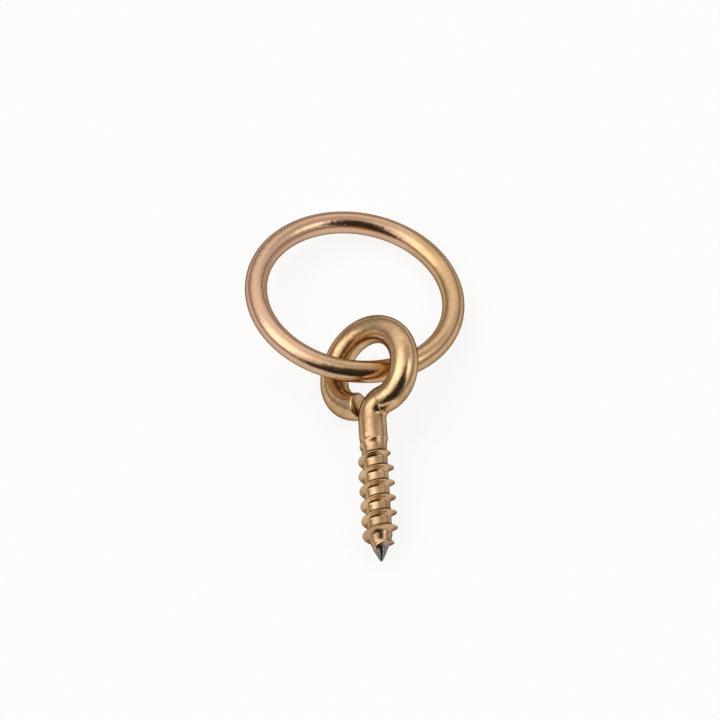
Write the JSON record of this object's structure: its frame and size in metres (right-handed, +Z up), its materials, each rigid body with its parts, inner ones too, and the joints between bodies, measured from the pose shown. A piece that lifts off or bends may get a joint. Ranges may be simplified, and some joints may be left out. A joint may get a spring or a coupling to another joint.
{
  "type": "screw eye with ring",
  "caption": "Brass-coloured screw eye with a wood thread and a closed bent-wire eye, carrying a loose round wire ring that swings freely through the eye.",
  "frame": {"origin": "centre of the footprint on the surface the pair lies on", "axes": "+Z up from the surface, +Y along the length from the screw's point towards the far side of the ring"},
  "size_m": [0.0246, 0.0462, 0.0095],
  "materials": {
    "screw_brass": "polished",
    "ring_brass": "polished"
  },
  "bodies": {
    "screw_eye": {"screw_eye": "screw_brass"},
    "ring": {"ring": "ring_brass"}
  },
  "joints": [
    {"name": "ring_swing", "type": "hinge", "parent": "screw_eye", "child": "ring", "pos_m": [0.00098, -0.00027, 0.00472], "axis": [0.9853, 0.0689, -0.1564], "range_deg": [-150, 175]}
  ]
}
